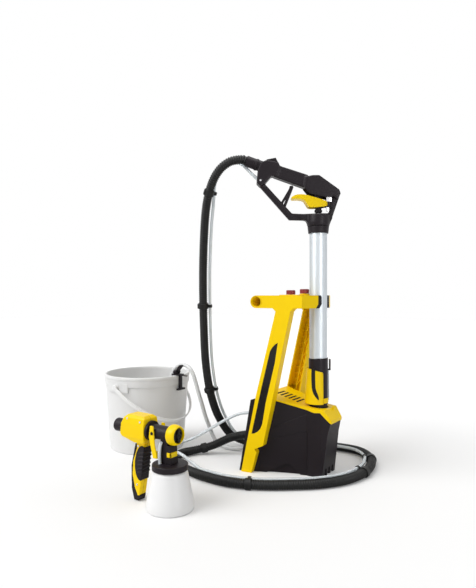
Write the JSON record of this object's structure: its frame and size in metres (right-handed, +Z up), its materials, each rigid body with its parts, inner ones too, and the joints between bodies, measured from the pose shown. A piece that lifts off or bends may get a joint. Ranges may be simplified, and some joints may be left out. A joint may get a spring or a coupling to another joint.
{
  "type": "airless paint sprayer",
  "caption": "Floor-standing paint sprayer: wedge turbine base with side frames, lift-out long-reach lance on a ribbed air hose, paint bucket with suction hose, and a hand spray gun with cup.",
  "frame": {"origin": "on the floor under the lance axis, on the underside of the tub", "axes": "+X from the rear legs towards the lance, +Y to the right frame, +Z up"},
  "size_m": [0.8816, 0.7287, 0.908],
  "materials": {
    "yellow": "moulded, satin gloss",
    "black": "moulded, fine grain",
    "hose_black": "matt",
    "red": "moulded",
    "anodised": "satin anodised",
    "steel": "bright",
    "white": "moulded, slightly translucent",
    "clear": "clear flexible tube",
    "dark_grey": "moulded",
    "motor_grey": "enamel",
    "filter_foam": "open foam"
  },
  "bodies": {
    "station": {"base_tub": "black", "rear_panel": "black", "top_deck": "yellow", "left_frame": "yellow", "right_frame": "yellow", "frame_trim": "black", "grip_bar": "yellow", "top_bridge": "yellow", "case_screws": "steel", "cable_gland": "black", "air_outlet": "black", "hose_unions": "black", "turbine_housing": "dark_grey", "turbine_motor": "motor_grey", "air_filter": "filter_foam", "pump_body": "dark_grey", "air_hose_loop": "hose_black", "air_hose_riser": "hose_black", "paint_hose_loop": "clear", "paint_hose_riser": "clear", "floor_clips": "hose_black", "riser_clips": "hose_black", "suction_hose": "clear", "suction_strainer": "black", "bucket_clip": "black", "arm_pin": "steel", "bucket": "white", "gun_left": "yellow", "gun_right": "yellow", "gun_grip_trim": "black", "gun_inlet": "black", "gun_body": "black", "gun_lid": "black", "gun_cup": "white", "vent_tube": "clear"},
    "lance": {"handle_left": "black", "handle_right": "black", "handle_screws": "steel", "hose_cuff": "black", "tube_collar": "black", "lance_tube": "anodised", "paint_pipe": "clear", "valve_boot": "black", "valve_steel": "steel", "head_sleeve": "black", "head_shield": "yellow", "spray_nozzle": "black"},
    "latch": {"hose_latch": "black"},
    "trigger": {"lance_trigger": "yellow"},
    "lock": {"trigger_lock": "black"},
    "rear_knob_body": {"rear_knob": "red"},
    "front_knob_body": {"front_knob": "red"},
    "fan": {"turbine_fan": "motor_grey"},
    "rotor": {"pump_rotor": "motor_grey"},
    "switch": {"power_switch": "black"},
    "gun_trigger_body": {"gun_trigger": "yellow"},
    "nozzle": {"nozzle_nut": "yellow", "air_cap": "black"},
    "bail": {"bucket_bail": "white"},
    "arm": {"clip_arm": "black"}
  },
  "joints": [
    {"name": "lance_lift", "type": "slide", "parent": "station", "child": "lance", "axis": [0, 0, 1], "range_m": [0, 0.095], "deforming": ["air_hose_riser", "paint_hose_riser", "riser_clips"]},
    {"name": "lance_trigger_pull", "type": "hinge", "parent": "lance", "child": "trigger", "pos_m": [0.02156, 0.01454, 0.768], "axis": [-0.5592, 0.829, 0], "range_deg": [0, 12], "stiffness_Nm_per_rad": 0.6, "springref_deg": -8.59},
    {"name": "trigger_lock_swing", "type": "hinge", "parent": "lance", "child": "lock", "pos_m": [-0.08042, -0.05424, 0.762], "axis": [-0.5592, 0.829, 0], "range_deg": [-20, 0]},
    {"name": "hose_latch_press", "type": "slide", "parent": "lance", "child": "latch", "axis": [0, 0, -1], "range_m": [0, 0.003], "stiffness_N_per_m": 400, "springref_m": -0.001},
    {"name": "rear_knob_turn", "type": "hinge", "parent": "station", "child": "rear_knob_body", "pos_m": [-0.089, 0, 0.508], "axis": [0, 0, 1], "continuous": true},
    {"name": "front_knob_turn", "type": "hinge", "parent": "station", "child": "front_knob_body", "pos_m": [-0.044, 0, 0.508], "axis": [0, 0, 1], "continuous": true},
    {"name": "fan_spin", "type": "hinge", "parent": "station", "child": "fan", "pos_m": [-0.112, 0, 0.056], "axis": [0, 0, 1], "continuous": true},
    {"name": "rotor_spin", "type": "hinge", "parent": "station", "child": "rotor", "pos_m": [-0.018, 0, 0.068], "axis": [0, 0, 1], "continuous": true},
    {"name": "switch_rock", "type": "hinge", "parent": "station", "child": "switch", "pos_m": [-0.17458, 0, 0.1382], "axis": [0, 1, 0], "range_deg": [-8, 8]},
    {"name": "gun_trigger_pull", "type": "hinge", "parent": "station", "child": "gun_trigger_body", "pos_m": [-0.219, -0.433, 0.177], "axis": [0, 1, 0], "range_deg": [0, 10], "stiffness_Nm_per_rad": 0.5, "springref_deg": -6.88},
    {"name": "nozzle_turn", "type": "hinge", "parent": "station", "child": "nozzle", "pos_m": [-0.177, -0.433, 0.177], "axis": [1, 0, 0], "range_deg": [0, 90]},
    {"name": "bail_swing", "type": "hinge", "parent": "station", "child": "bail", "pos_m": [-0.6, -0.07, 0.214], "axis": [0, -1, 0], "range_deg": [0, 40]},
    {"name": "arm_swing", "type": "hinge", "parent": "station", "child": "arm", "pos_m": [-0.47, -0.07, 0.2575], "axis": [0, 1, 0], "range_deg": [0, 30]}
  ]
}
